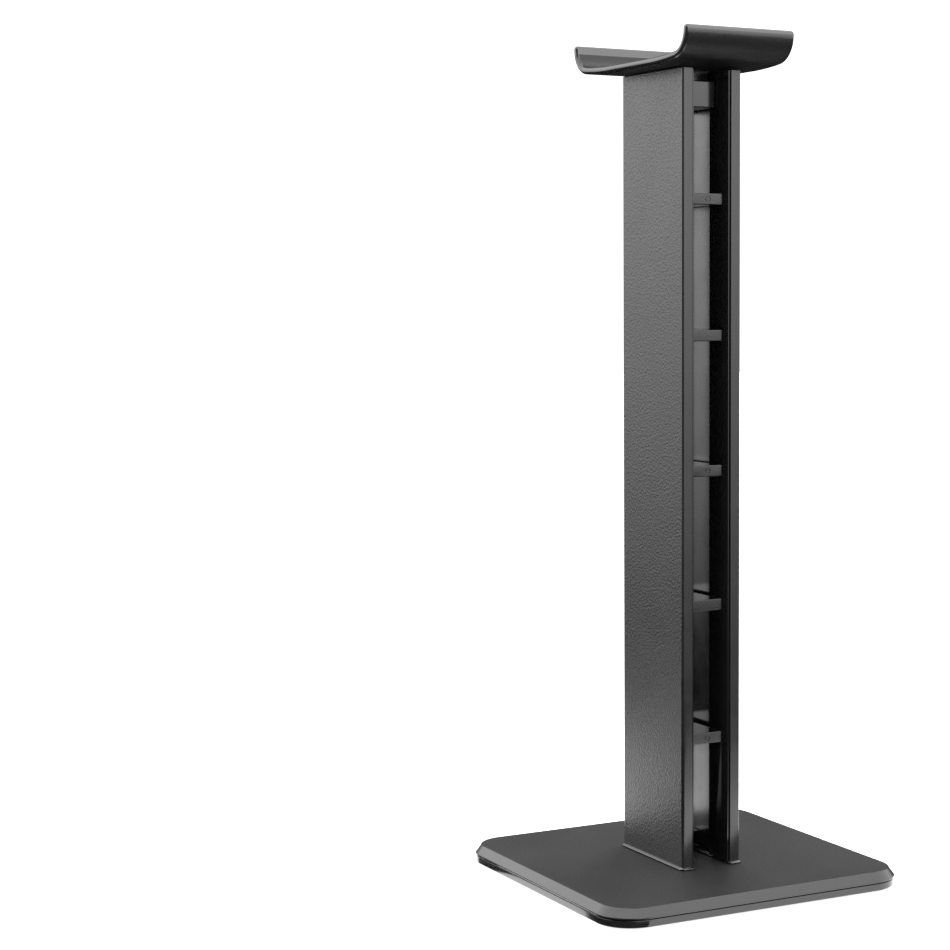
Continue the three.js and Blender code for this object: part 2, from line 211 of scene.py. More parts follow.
def combine(tree, operation, first, second):
    node = tree.nodes.new("ShaderNodeMath")
    node.operation = operation
    for socket, value in zip(node.inputs, (first, second)):
        if isinstance(value, (int, float)):
            socket.default_value = value
        else:
            tree.links.new(value, socket)
    return node.outputs["Value"]


def bump(tree, height, distance, strength=1.0, after=None):
    """Bump of `distance` metres between texture values 0 and 1, laid over an earlier one."""
    node = tree.nodes.new("ShaderNodeBump")
    node.inputs["Distance"].default_value = distance
    node.inputs["Strength"].default_value = strength
    tree.links.new(height, node.inputs["Height"])
    if after is not None:
        tree.links.new(after, node.inputs["Normal"])
    return node.outputs["Normal"]


# ------------------------------------------------------------------ materials
def grained_plastic(name, grain_size, grain_depth, roughness, tone, specular=0.5):
    """Moulded black plastic with a leather-like grain: pebbles, finer tooth and handling marks."""
    material, tree, shader = new_material(name)
    point = object_point(tree)
    pebbles = cells(tree, point, grain_size)
    tooth = noise(tree, point, grain_size * 0.4, 3.0)
    broad = noise(tree, point, 0.03, 4.0)
    dark = tuple(channel * 0.8 for channel in tone)
    light = tuple(channel * 1.3 for channel in tone)
    tree.links.new(blend_colours(tree, broad, dark, light), shader.inputs["Base Color"])
    worn = ramp(tree, broad, roughness - 0.03, roughness + 0.04)
    pits = ramp(tree, pebbles, -0.03, 0.05)
    tree.links.new(combine(tree, "ADD", worn, pits), shader.inputs["Roughness"])
    coarse = bump(tree, pebbles, grain_depth)
    fine = bump(tree, tooth, grain_depth * 0.35, after=coarse)
    tree.links.new(fine, shader.inputs["Normal"])
    shader.inputs["Specular IOR Level"].default_value = specular
    return material


def polished_plastic(name, roughness, tone, specular=0.5):
    """Polished black moulding: slow waviness, faint smears and very fine scratches."""
    material, tree, shader = new_material(name)
    point = object_point(tree)
    smears = noise(tree, point, 0.012, 5.0, 0.6)
    waves = noise(tree, point, 0.02, 1.0)
    dust = noise(tree, point, 0.0004, 2.0)
    dark = tuple(channel * 0.85 for channel in tone)
    light = tuple(channel * 1.2 for channel in tone)
    tree.links.new(blend_colours(tree, smears, dark, light), shader.inputs["Base Color"])
    tree.links.new(ramp(tree, smears, roughness * 0.8, roughness * 1.4), shader.inputs["Roughness"])
    wavy = bump(tree, waves, 0.00002)
    tree.links.new(bump(tree, dust, 0.0000004, after=wavy), shader.inputs["Normal"])
    shader.inputs["Specular IOR Level"].default_value = specular
    return material


def rubber_material():
    material, tree, shader = new_material("foot_rubber")
    point = object_point(tree)
    speckle = noise(tree, point, 0.0006, 4.0)
    tree.links.new(blend_colours(tree, speckle, (0.012, 0.012, 0.012), (0.03, 0.03, 0.03)),
                   shader.inputs["Base Color"])
    tree.links.new(ramp(tree, speckle, 0.75, 0.95), shader.inputs["Roughness"])
    tree.links.new(bump(tree, speckle, 0.00004), shader.inputs["Normal"])
    return material


def metal_material(name, dark, light, roughness, grain):
    """Metal with fine directional marks: stretched noise in colour, roughness and bump."""
    material, tree, shader = new_material(name)
    stretch = tree.nodes.new("ShaderNodeMapping")
    stretch.inputs["Scale"].default_value = (1, 12, 12)
    tree.links.new(object_point(tree), stretch.inputs["Vector"])
    marks = noise(tree, stretch.outputs["Vector"], grain, 4.0)
    tree.links.new(blend_colours(tree, marks, dark, light), shader.inputs["Base Color"])
    tree.links.new(ramp(tree, marks, roughness * 0.85, roughness * 1.25), shader.inputs["Roughness"])
    tree.links.new(bump(tree, marks, 0.000005), shader.inputs["Normal"])
    shader.inputs["Metallic"].default_value = 1.0
    return material


GRAIN = grained_plastic("grain_panel", 0.0007, 0.00006, 0.33, (0.006, 0.006, 0.006), 0.49)
BASE_GRAIN = grained_plastic("grain_base", 0.0005, 0.00004, 0.48, (0.008, 0.008, 0.008), 0.42)
RIM_GLOSS = polished_plastic("gloss_rim", 0.16, (0.006, 0.006, 0.006), 0.8)
CRADLE_GRAIN = grained_plastic("grain_cradle", 0.0006, 0.00004, 0.36, (0.005, 0.005, 0.005), 0.3)
GLOSS = polished_plastic("gloss_core", 0.05, (0.003, 0.003, 0.003), 0.42)
EDGE_GLOSS = polished_plastic("gloss_edge", 0.16, (0.005, 0.005, 0.005))
RIB_SATIN = grained_plastic("satin_rib", 0.0003, 0.00002, 0.25, (0.004, 0.004, 0.004))
RUBBER = rubber_material()
SCREW_BLACK = metal_material("black_zinc", (0.03, 0.03, 0.032), (0.07, 0.07, 0.075), 0.35, 0.004)
STEEL = metal_material("rolled_steel", (0.42, 0.43, 0.44), (0.6, 0.61, 0.62), 0.4, 0.01)


# ------------------------------------------------------------------ mesh helpers
def object_from(mesh, name):
    thing = bpy.data.objects.new(name, mesh)
    bpy.context.scene.collection.objects.link(thing)
    return thing


def loft(name, rings):
    """Closed solid through rings of equal point count, with flat ends."""
    build = bmesh.new()
    rows = [[build.verts.new(point) for point in ring] for ring in rings]
    count = len(rings[0])
    for lower, upper in zip(rows, rows[1:]):
        for index in range(count):
            after = (index + 1) % count
            build.faces.new((lower[index], lower[after], upper[after], upper[index]))
    build.faces.new(list(reversed(rows[0])))
    build.faces.new(rows[-1])
    bmesh.ops.recalc_face_normals(build, faces=build.faces)
    mesh = bpy.data.meshes.new(name)
    build.to_mesh(mesh)
    build.free()
    return object_from(mesh, name)


def block(name, low, high):
    """A plain cutting or joining block between two corners."""
    (x0, y0, z0), (x1, y1, z1) = low, high
    outline = [(x0, y0), (x1, y0), (x1, y1), (x0, y1)]
    return loft(name, [[(x, y, z) for x, y in outline] for z in (z0, z1)])


def centred_block(name, half_x, half_y, z0, z1):
    return block(name, (-half_x, -half_y, z0), (half_x, half_y, z1))


def circle(radius, x, y, z, count=64):
    turn = 2 * math.pi / count
    return [(x + radius * math.cos(turn * i), y + radius * math.sin(turn * i), z)
            for i in range(count)]


def rod(name, radius, x, y, z0, z1, count=64):
    return loft(name, [circle(radius, x, y, z, count) for z in (z0, z1)])


def rounded_outline(x0, x1, y0, y1, radius, steps=16):
    """Counter-clockwise outline of a rounded rectangle, as plan points."""
    corners = [(x1 - radius, y0 + radius, -90), (x1 - radius, y1 - radius, 0),
               (x0 + radius, y1 - radius, 90), (x0 + radius, y0 + radius, 180)]
    points = []
    for cx, cy, start in corners:
        for step in range(steps + 1):
            angle = math.radians(start + 90 * step / steps)
            points.append((cx + radius * math.cos(angle), cy + radius * math.sin(angle)))
    return points


def square_ring(half, z, radius):
    return [(x, y, z) for x, y in rounded_outline(-half, half, -half, half, radius)]


def apply_modifiers(thing):
    """Bakes the modifiers into a new mesh on the same object."""
    graph = bpy.context.evaluated_depsgraph_get()
    finished = bpy.data.meshes.new_from_object(thing.evaluated_get(graph))
    thing.modifiers.clear()
    thing.data = finished
    return thing


def combine_solids(target, tools, operation):
    """Adds or cuts other solids, which are used up."""
    for tool in tools:
        modifier = target.modifiers.new("solid", "BOOLEAN")
        modifier.operation = operation
        modifier.solver = "EXACT"
        modifier.object = tool
        apply_modifiers(target)
        bpy.data.objects.remove(tool)
    return target


def soften_edges(thing, width, segments=2, angle=35):
    modifier = thing.modifiers.new("soften", "BEVEL")
    modifier.width = width
    modifier.segments = segments
    modifier.limit_method = "ANGLE"
    modifier.angle_limit = math.radians(angle)
    modifier.use_clamp_overlap = True
    apply_modifiers(thing)


def finish_shading(thing, angle=35):
    """Smooth shading that keeps hard edges hard and large flat faces flat."""
    for polygon in thing.data.polygons:
        polygon.use_smooth = True
    thing.data.set_sharp_from_angle(angle=math.radians(angle))
    modifier = thing.modifiers.new("flats", "WEIGHTED_NORMAL")
    modifier.mode = "FACE_AREA"
    modifier.keep_sharp = True
    apply_modifiers(thing)


def paint(thing, materials, choose=None):
    """Gives the piece its materials; choose(centre, normal) returns the index for a face."""
    thing.data.materials.clear()
    for material in materials:
        thing.data.materials.append(material)
    for polygon in thing.data.polygons:
        polygon.material_index = choose(polygon.center, polygon.normal) if choose else 0


def place(thing, nodes):
    """Makes the piece ride on the stand and stand for its CAD nodes."""
    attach(thing, BODY)
    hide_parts(*nodes)


def mirrored(thing, name, axis):
    """A copy of the piece mirrored in the plane through the origin square to an axis."""
    scale = [1, 1, 1]
    scale["xyz".index(axis)] = -1
    mesh = thing.data.copy()
    mesh.transform(Matrix.Diagonal((*scale, 1)))
    mesh.flip_normals()
    return object_from(mesh, name)


def turned_half_round(thing, name):
    """A copy of the piece turned by 180 degrees about the Z axis."""
    mesh = thing.data.copy()
    mesh.transform(Matrix.Diagonal((-1, -1, 1, 1)))
    return object_from(mesh, name)


# ------------------------------------------------------------------ base
def panel_socket(name, side, clearance, z0, z1):
    inner = PANEL_LIP_INNER_X - clearance
    outer = COLUMN_HALF_X + clearance
    half_y = COLUMN_HALF_Y + clearance
    x0, x1 = sorted((side * inner, side * outer))
    return block(name, (x0, -half_y, z0), (x1, half_y, z1))


def cover_screw_centre():
    middle = (COVER_SCREW_LOW + COVER_SCREW_HIGH) / 2
    return middle.x, middle.y


def build_base_top():
    """Top shell: short upright rim, polished bevel with soft edges, flat grained top."""
    rim_top = SHELL_LOW.z + SHELL_RIM
    edge = 0.35 * MM                 # softening where the bevel meets the top
    low_edge = 0.25 * MM             # and where it meets the rim
    slope = (BASE_TOP - rim_top) / BEVEL_IN
    profile = [
        (0.25 * MM, SHELL_LOW.z),
        (0.07 * MM, SHELL_LOW.z + 0.05 * MM),
        (0.0, SHELL_LOW.z + 0.18 * MM),
        (0.0, rim_top - 0.5 * low_edge),
        (0.03 * MM, rim_top + 0.1 * MM),
        (0.12 * MM, rim_top + 0.12 * MM * slope),
        (BEVEL_IN - edge, BASE_TOP - edge * slope * 0.97),
        (BEVEL_IN - 0.6 * edge, BASE_TOP - 0.5 * edge),
        (BEVEL_IN - 0.1 * edge, BASE_TOP - 0.17 * edge),
        (BEVEL_IN + 0.55 * edge, BASE_TOP - 0.02 * edge),
        (BEVEL_IN + 1.2 * edge, BASE_TOP),
    ]
    rings = [square_ring(BASE_HALF - inset, z, CORNER_RADIUS - inset) for inset, z in profile]
    shell = loft("base_top", rings)
    cutters = [centred_block("pocket", POCKET_HALF_X, POCKET_HALF_Y,
                             SHELL_LOW.z - PAST, SHELL_CEILING)]
    for side in (-1, 1):
        cutters.append(panel_socket("socket", side, GAP, 0, BASE_TOP + PAST))
        cutters.append(rod("hole", COLUMN_SCREW_RADIUS + GAP, side * COLUMN_SCREW_X,
                           side * COLUMN_SCREW_Y, 0, BASE_TOP + PAST))
    x, y = cover_screw_centre()
    for side_x in (-1, 1):
        for side_y in (-1, 1):
            cutters.append(rod("hole", COVER_SCREW_RADIUS + GAP, side_x * x, side_y * y,
                               0, COVER_SCREW_HIGH.z + GAP))
    combine_solids(shell, cutters, "DIFFERENCE")
    paint(shell, [EDGE_GLOSS, BASE_GRAIN],
          lambda centre, normal: int(normal.z > 0.97 and centre.z > BASE_TOP - 0.1 * MM))
    finish_shading(shell, 30)
    place(shell, ["base_top_shell"])


def build_base_cover():
    """Bottom cover: polished band round the edge, flat underside with its screws and feet."""
    z0, z1 = COVER_LOW.z, COVER_HIGH.z
    profile = [(0.5 * MM, z0), (0.22 * MM, z0 + 0.06 * MM), (0.06 * MM, z0 + 0.22 * MM),
               (0.0, z0 + 0.5 * MM), (0.0, z1 - 0.2 * MM), (0.06 * MM, z1 - 0.06 * MM),
               (0.2 * MM, z1)]
    radius = CORNER_RADIUS - GAP
    cover = loft("base_bottom_cover",
                 [square_ring(COVER_HALF - inset, z, radius - inset) for inset, z in profile])
    cutters = [centred_block("pocket", POCKET_HALF_X, POCKET_HALF_Y, COVER_FLOOR_TOP, z1 + PAST)]
    foot_centre = (FOOT_LOW + FOOT_HIGH) / 2
    foot_radius = (FOOT_HIGH.x - FOOT_LOW.x) / 2
    screw_x, screw_y = cover_screw_centre()
    for side_x in (-1, 1):
        for side_y in (-1, 1):
            cutters.append(rod("recess", foot_radius + GAP, side_x * foot_centre.x,
                               side_y * foot_centre.y, -PAST, FOOT_HIGH.z + GAP))
            cutters.append(rod("hole", COVER_HEAD_RADIUS + GAP, side_x * screw_x, side_y * screw_y,
                               -PAST, z1 + PAST))
    for side in (-1, 1):
        cutters.append(rod("hole", COLUMN_HEAD_RADIUS + GAP, side * COLUMN_SCREW_X,
                           side * COLUMN_SCREW_Y, -PAST, z1 + PAST))
    combine_solids(cover, cutters, "DIFFERENCE")
    paint(cover, [EDGE_GLOSS, BASE_GRAIN], lambda centre, normal: int(normal.z < -0.97))
    finish_shading(cover, 30)
    place(cover, ["base_cover"])


def build_feet():
    """Rubber discs with a rounded edge and two shallow grooves in the tread."""
    centre = (FOOT_LOW + FOOT_HIGH) / 2
    radius = (FOOT_HIGH.x - FOOT_LOW.x) / 2
    groove = 0.25 * MM
    tread = [(0.2, 0), (0.30, 0), (0.33, groove), (0.40, groove), (0.43, 0), (0.60, 0),
             (0.63, groove), (0.70, groove), (0.73, 0), (0.93, 0), (0.98, 0.08 * MM),
             (1.0, 0.3 * MM)]
    number = 1
    for side_x in (-1, 1):
        for side_y in (-1, 1):
            x, y = side_x * centre.x, side_y * centre.y
            rings = [circle(radius * share, x, y, z) for share, z in tread]
            rings.append(circle(radius, x, y, FOOT_HIGH.z - 0.1 * MM))
            rings.append(circle(radius - 0.1 * MM, x, y, FOOT_HIGH.z))
            foot = loft(f"rubber_pad_{number}", rings)
            paint(foot, [RUBBER])
            finish_shading(foot)
            place(foot, [f"rubber_foot_{number}"])
            number += 1


# ------------------------------------------------------------------ screws
def hexagon(radius, x, y, z, count=48):
    """Ring of points along a hexagon, matching a circle of the same count."""
    points = []
    for index in range(count):
        angle = 2 * math.pi * index / count
        to_flat = (angle + math.pi / 6) % (math.pi / 3) - math.pi / 6
        reach = radius * math.cos(math.pi / 6) / math.cos(to_flat)
        points.append((x + reach * math.cos(angle), y + reach * math.sin(angle), z))
    return points


def build_screw(name, low, high, shank_radius, head_height, countersunk, node):
    """Screw with its head down, a hexagonal socket and thread ridges along the shank."""
    x, y = (low.x + high.x) / 2, (low.y + high.y) / 2
    head = (high.x - low.x) / 2
    socket = 0.45 * head
    count = 48
    rings = [hexagon(socket * 0.98, x, y, low.z + 0.7 * head_height, count),
             hexagon(socket, x, y, low.z + 0.06 * MM, count),
             hexagon(socket * 1.08, x, y, low.z, count),
             circle(head - 0.12 * MM, x, y, low.z, count),
             circle(head - 0.03 * MM, x, y, low.z + 0.05 * MM, count),
             circle(head, x, y, low.z + 0.14 * MM, count)]
    shoulder = 0.25 if countersunk else 0.92
    rings.append(circle(head, x, y, low.z + shoulder * head_height, count))
    if not countersunk:
        rings.append(circle(head - 0.1 * MM, x, y, low.z + head_height, count))
    rings.append(circle(shank_radius, x, y, low.z + head_height, count))
    pitch = 0.5 * MM
    z = low.z + head_height + pitch
    while z + pitch < high.z - 0.3 * MM:
        rings.append(circle(shank_radius, x, y, z, count))
        rings.append(circle(shank_radius - 0.18 * MM, x, y, z + 0.5 * pitch, count))
        z += pitch
    rings.append(circle(shank_radius, x, y, high.z - 0.3 * MM, count))
    rings.append(circle(shank_radius - 0.25 * MM, x, y, high.z, count))
    screw = loft(name, rings)
    paint(screw, [SCREW_BLACK])
    finish_shading(screw)
    place(screw, [node])


def build_screws():
    for number in range(1, 5):
        node = f"cover_screw_{number}"
        low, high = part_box(node)
        build_screw(f"cover_bolt_{number}", low, high, COVER_SCREW_RADIUS,
                    COVER_HEAD_HEIGHT, True, node)
    for end in ("front", "rear"):
        node = f"column_screw_{end}"
        low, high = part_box(node)
        build_screw(f"column_bolt_{end}", low, high, COLUMN_SCREW_RADIUS,
                    COLUMN_HEAD_HEIGHT, False, node)


# ------------------------------------------------------------------ side panels
def panel_section():
    """Plan outline of the +X panel: rounded outer edges and a lip at each channel mouth."""
    outer, lip, recess = COLUMN_HALF_X, PANEL_LIP_INNER_X, PANEL_RECESS_X
    half_y = COLUMN_HALF_Y
    recess_y = half_y - PANEL_LIP_WIDTH
    radius = PANEL_EDGE_RADIUS
    small = 0.2 * MM
    points = []

    def corner(cx, cy, r, start, steps):
        for step in range(steps + 1):
            angle = math.radians(start + 90 * step / steps)
            points.append((cx + r * math.cos(angle), cy + r * math.sin(angle)))

    def crown(end):
        """A slight swelling of the narrow end face between its two rounded corners."""
        x0, x1 = lip + small, outer - radius
        steps = 6
        inner_steps = [x0 + (x1 - x0) * step / steps for step in range(1, steps)]
        order = inner_steps if end < 0 else list(reversed(inner_steps))
        for x in order:
            share = (x - x0) / (x1 - x0)
            points.append((x, end * (half_y + PANEL_CROWN * 4 * share * (1 - share))))

    corner(lip + small, -half_y + small, small, 180, 3)
    crown(-1)
    corner(outer - radius, -half_y + radius, radius, 270, 8)
    corner(outer - radius, half_y - radius, radius, 0, 8)
    crown(1)
    corner(lip + small, half_y - small, small, 90, 3)
    points.append((lip, recess_y))
    points.append((recess, recess_y))
    points.append((recess, -recess_y))
    points.append((lip, -recess_y))
    return points


def build_panels():
    section = panel_section()
    soft = 0.25 * MM
    middle_x = (PANEL_RECESS_X + COLUMN_HALF_X) / 2

    def shrunk(z, inset):
        """The section drawn in towards its own middle line, for the softened top edge."""
        ring = []
        for x, y in section:
            side = 1 if x > middle_x else -1
            end = 1 if y > 0 else -1
            near_edge = abs(y) > COLUMN_HALF_Y - PANEL_LIP_WIDTH / 2
            ring.append((x - side * inset, y - (end * inset if near_edge else 0), z))
        return ring

    body = loft("panel_body", [
        [(x, y, FLANGE_TOP - 0.05 * MM) for x, y in section],
        [(x, y, COLUMN_TOP - soft) for x, y in section],
        shrunk(COLUMN_TOP - 0.3 * soft, 0.3 * soft),
        shrunk(COLUMN_TOP, soft),
    ])

    def foot_ring(z, grow):
        outline = rounded_outline(PANEL_LIP_INNER_X - grow, COLUMN_HALF_X + grow,
                                  -COLUMN_HALF_Y - grow, COLUMN_HALF_Y + grow,
                                  PANEL_EDGE_RADIUS + grow, 8)
        return [(x, y, z) for x, y in outline]

    reach = FLANGE_REACH
    foot = loft("panel_foot", [
        foot_ring(PANEL_LOW.z, -0.2 * MM),
        foot_ring(PANEL_LOW.z + 0.2 * MM, 0),
        foot_ring(COLUMN_SEAT, 0),
        foot_ring(COLUMN_SEAT, reach - 0.1 * MM),
        foot_ring(COLUMN_SEAT + 0.08 * MM, reach),
        foot_ring(COLUMN_SEAT + 0.2 * MM, reach - 0.04 * MM),
        foot_ring(FLANGE_TOP - 0.12 * MM, 0.3 * MM),
        foot_ring(FLANGE_TOP - 0.02 * MM, 0.12 * MM),
        foot_ring(FLANGE_TOP, -0.02 * MM),
    ])
    panel = combine_solids(body, [foot], "UNION")
    panel.name = "panel_right_shell"

    def choose(centre, normal):
        if centre.z < FLANGE_TOP and normal.z > 0.2:
            return 2
        return 1 if normal.x > 0.999 and centre.x > COLUMN_HALF_X - 0.01 * MM else 0

    paint(panel, [EDGE_GLOSS, GRAIN, RIM_GLOSS], choose)
    left = mirrored(panel, "panel_left_shell", "x")
    for piece, node in ((panel, "panel_right"), (left, "panel_left")):
        finish_shading(piece, 30)
        place(piece, [node])


# ------------------------------------------------------------------ core halves
def bore_along_x(name, side, radius, x_inner, x_outer, y, z, count=48):
    """A round cutter lying along X on one side of the column."""
    rings = [[(side * x, py, pz) for py, pz, _ in circle(radius, y, z, 0, count)]
             for x in (x_inner, x_outer)]
    return loft(name, rings)


def rail_section():
    """Plan outline of the +X rail of the front half, with its sloping nose."""
    inner, outer, small = RAIL_INNER_X, RAIL_OUTER_X, 0.06 * MM
    return [(inner, -RAIL_REAR_Y), (inner, -CORE_FRONT_Y),
            (NOSE_TIP_X - small, -NOSE_FRONT_Y + small), (NOSE_TIP_X + small, -NOSE_FRONT_Y),
            (NOSE_OUTER_X, -NOSE_FRONT_Y), (NOSE_OUTER_X, -CORE_FRONT_Y),
            (outer, -CORE_FRONT_Y), (outer, -RAIL_REAR_Y)]


def shelf_centre_z(shelf):
    return MIDDLE_SHELF_Z + (shelf - (SHELF_COUNT + 1) / 2) * SHELF_PITCH


def build_core():
    """Two ladders: rails, shelves that meet in the middle, and a screw boss at the foot."""
    back = -CORE_BACK_Y
    inner, outer = RAIL_INNER_X, RAIL_OUTER_X
    bite = 0.5 * MM                  # how far joined solids reach into each other
    half = loft("core_front", [[(x, y, z) for x, y in rail_section()]
                               for z in (RAIL_BOTTOM, CORE_HIGH.z)])
    other_rail = mirrored(half, "rail", "x")
    combine_solids(half, [other_rail], "UNION")

    rungs = []
    for shelf in range(1, SHELF_COUNT + 1):
        z = shelf_centre_z(shelf)
        low, high = z - SHELF_HEIGHT / 2, z + SHELF_HEIGHT / 2
        front = -CORE_FRONT_Y + 0.02 * MM
        rung = block("shelf", (-inner, front, low), (inner, back, high))
        soften_edges(rung, 0.25 * MM, 2)
        rungs.append(rung)
        rungs.append(block("tie", (-inner - bite, front + bite, low + bite),
                           (inner + bite, -RAIL_REAR_Y - bite, high - bite)))
    boss = block("boss", (-inner, -BOSS_FRONT_Y, COLUMN_SEAT), (-BOSS_INNER_X, -BOSS_REAR_Y, BOSS_TOP))
    soften_edges(boss, 0.3 * MM, 2)
    rungs.append(boss)
    rungs.append(block("boss_root", (-outer, -RAIL_REAR_Y - bite, RAIL_BOTTOM),
                       (-inner + bite, -BOSS_REAR_Y - 0.4 * MM, BOSS_TOP - 0.4 * MM)))
    combine_solids(half, rungs, "UNION")
    cutters = [rod("hole", COLUMN_SCREW_RADIUS + GAP, -COLUMN_SCREW_X, -COLUMN_SCREW_Y,
                   0, COLUMN_SCREW_HIGH.z + GAP)]
    for shelf in range(1, SHELF_COUNT + 1, 2):
        cutters.append(pin_mark(shelf_centre_z(shelf)))
    for side in (-1, 1):
        cutters.append(bore_along_x("hole", side, NECK_HEAD_RADIUS + GAP, outer - NECK_HEAD_HEIGHT,
                                    outer + PAST, -NECK_SCREW_Y, NECK_SCREW_Z))
        cutters.append(bore_along_x("hole", side, NECK_SHANK_RADIUS + GAP, inner - PAST,
                                    outer, -NECK_SCREW_Y, NECK_SCREW_Z))
    combine_solids(half, cutters, "DIFFERENCE")

    def choose(centre, normal):
        on_front = normal.y < -0.99 and centre.y < -CORE_FRONT_Y + 0.3 * MM
        return 1 if on_front and abs(centre.x) < inner else 0

    paint(half, [GLOSS, RIB_SATIN], choose)
    rear = turned_half_round(half, "core_rear")
    for piece, node in ((half, "core_front_half"), (rear, "core_rear_half")):
        finish_shading(piece, 30)
        place(piece, [node])


def pin_mark(z):
    """Cutter for a shallow ring with a proud centre, where a moulding pin touched a shelf."""
    count = 48
    front = -CORE_FRONT_Y
    shares = [(1.0, -0.3 * MM), (1.0, PIN_MARK_DEPTH), (0.6, PIN_MARK_DEPTH), (0.5, -0.3 * MM)]
    turn = 2 * math.pi / count
    build = bmesh.new()
    rows = []
    for share, depth in shares:
        radius = PIN_MARK_RADIUS * share
        rows.append([build.verts.new((radius * math.cos(turn * i), front + depth,
                                      z + radius * math.sin(turn * i))) for i in range(count)])
    for row, following in zip(rows, rows[1:] + rows[:1]):
        for i in range(count):
            j = (i + 1) % count
            build.faces.new((row[i], row[j], following[j], following[i]))
    bmesh.ops.recalc_face_normals(build, faces=build.faces)
    mesh = bpy.data.meshes.new("pin_mark")
    build.to_mesh(mesh)
    build.free()
    return object_from(mesh, "pin_mark")


# ------------------------------------------------------------------ cradle
def cradle_centre_line():
    """Centre line of the trough's section, from the middle to one lip: (y, z, angle)."""
    start = CRADLE_BOTTOM + CRADLE_THICKNESS / 2
    points = [(0.0, start, 0.0)]
    sweep_turn = math.asin((CRADLE_SWEEP_END_Y - CRADLE_FLAT_HALF_Y) / CRADLE_SWEEP_RADIUS)
    steps = 12
    for step in range(steps + 1):
        angle = sweep_turn * step / steps
        points.append((CRADLE_FLAT_HALF_Y + CRADLE_SWEEP_RADIUS * math.sin(angle),
                       start + CRADLE_SWEEP_RADIUS * (1 - math.cos(angle)), angle))
    bend_y, bend_z, _ = points[-1]
    steps = 20
    for step in range(1, steps + 1):
        angle = sweep_turn + (CRADLE_LIP_ANGLE - sweep_turn) * step / steps
        points.append((bend_y + CRADLE_LIP_RADIUS * (math.sin(angle) - math.sin(sweep_turn)),
                       bend_z + CRADLE_LIP_RADIUS * (math.cos(sweep_turn) - math.cos(angle)),
                       angle))
    y, z, angle = points[-1]
    points.append((y + CRADLE_LIP_STRAIGHT * math.cos(angle),
                   z + CRADLE_LIP_STRAIGHT * math.sin(angle), angle))
    return points


def cradle_ring(x, half_thickness):
    line = cradle_centre_line()
    under = [(y + half_thickness * math.sin(a), z - half_thickness * math.cos(a))
             for y, z, a in line]
    upper = [(y - half_thickness * math.sin(a), z + half_thickness * math.cos(a))
             for y, z, a in reversed(line)]
    tip_y, tip_z, tip_angle = line[-1]
    steps = 10
    cap = []
    for step in range(1, steps):
        turn = tip_angle - math.pi / 2 + math.pi * step / steps
        cap.append((tip_y + half_thickness * math.cos(turn), tip_z + half_thickness * math.sin(turn)))
    right = under + cap + upper
    left = [(-y, z) for y, z in reversed(right[1:-1])]
    return [(x, y, z) for y, z in right + left]


def build_cradle():
    edge = 1.0 * MM                  # rounding of the trough's two ends
    polished_rim = 2.6 * MM          # smooth band along the top of each lip
    full = CRADLE_THICKNESS / 2
    steps = 6
    rings = []
    for step in range(steps + 1):
        angle = math.pi / 2 * step / steps
        x = -CRADLE_HALF_X + edge * (1 - math.cos(angle))
        rings.append(cradle_ring(x, full - edge * (1 - math.sin(angle))))
    rings += [[(-x, y, z) for x, y, z in ring] for ring in reversed(rings)]
    plate = loft("cradle_trough", rings)
    top = CRADLE_BOTTOM + 0.5 * CRADLE_THICKNESS
    neck = centred_block("neck", NECK_HALF_X, NECK_HALF_Y, NECK_BLOCK_TOP - 1 * MM, top)
    neck_block = centred_block("neck_block", NECK_HALF_X, NECK_BLOCK_HALF_Y,
                               NECK_BLOCK_BOTTOM, NECK_BLOCK_TOP)
    soften_edges(neck_block, 0.3 * MM, 2)
    cutters = []
    for side_x in (-1, 1):
        for side_y in (-1, 1):
            cutters.append(bore_along_x("hole", side_x, NECK_SHANK_RADIUS + GAP, 1.5 * MM,
                                        NECK_HALF_X + PAST, side_y * NECK_SCREW_Y, NECK_SCREW_Z))
    combine_solids(neck_block, cutters, "DIFFERENCE")
    combine_solids(plate, [neck, neck_block], "UNION")

    def choose(centre, normal):
        if centre.z < CRADLE_BOTTOM - 0.05 * MM:
            return 1
        if centre.z > CRADLE_HIGH.z - polished_rim:
            return 2
        return 1 if abs(centre.x) > CRADLE_HALF_X - edge else 0

    paint(plate, [CRADLE_GRAIN, EDGE_GLOSS, RIM_GLOSS], choose)
    finish_shading(plate, 30)
    place(plate, ["cradle"])


# ------------------------------------------------------------------ CAD solids that stay
def dress_hidden_parts():
    """Ballast and neck screws keep their CAD shape and get finished materials."""
    finishes = [("ballast_plate", STEEL)]
    finishes += [(f"neck_screw_{number}", SCREW_BLACK) for number in range(1, 5)]
    for node, material in finishes:
        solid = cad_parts[node]
        solid.data.materials.clear()
        solid.data.materials.append(material)


# ------------------------------------------------------------------ stage
FLOOR_HALF = 4.0
FLOOR_GLOW = 0.8                     # keeps the pale floor nearly free of shadow
TABLE_REACH = 0.24                   # how far the lit table reaches, along LIGHT_AXIS both ways
TABLE_HALF_WIDTH = 0.06
TABLE_REAR_SHIFT = 0.057             # the rear part lies to the right of the line of sight
TABLE_GLOW = 2.9
TABLE_DIM_FROM = 0.145               # beyond this distance in front the table is less lit
TABLE_DIM_SHARE = 0.45
TABLE_DIM_FADE = 0.015               # half width of the change from lit to dim
TABLE_OVERLAP = 0.06                 # the two parts of the table overlap under the base
BEHIND_NEAR, BEHIND_FAR = 0.075, 0.19  # lit patch of table behind the stand, along DARK_SIDE
BEHIND_HALF_WIDTH = 0.045
BEHIND_GLOW = 5.2
FILL_STRENGTH = 2.6
BACKDROP_STRENGTH = 1.6
MIRROR_STRENGTH = 4.1
LIGHT_AXIS = Vector((-0.505, 0.863)) # the column's faces mirror the studio along this line
DARK_SIDE = Vector((0.505, 0.863))   # behind the stand, where the studio is unlit
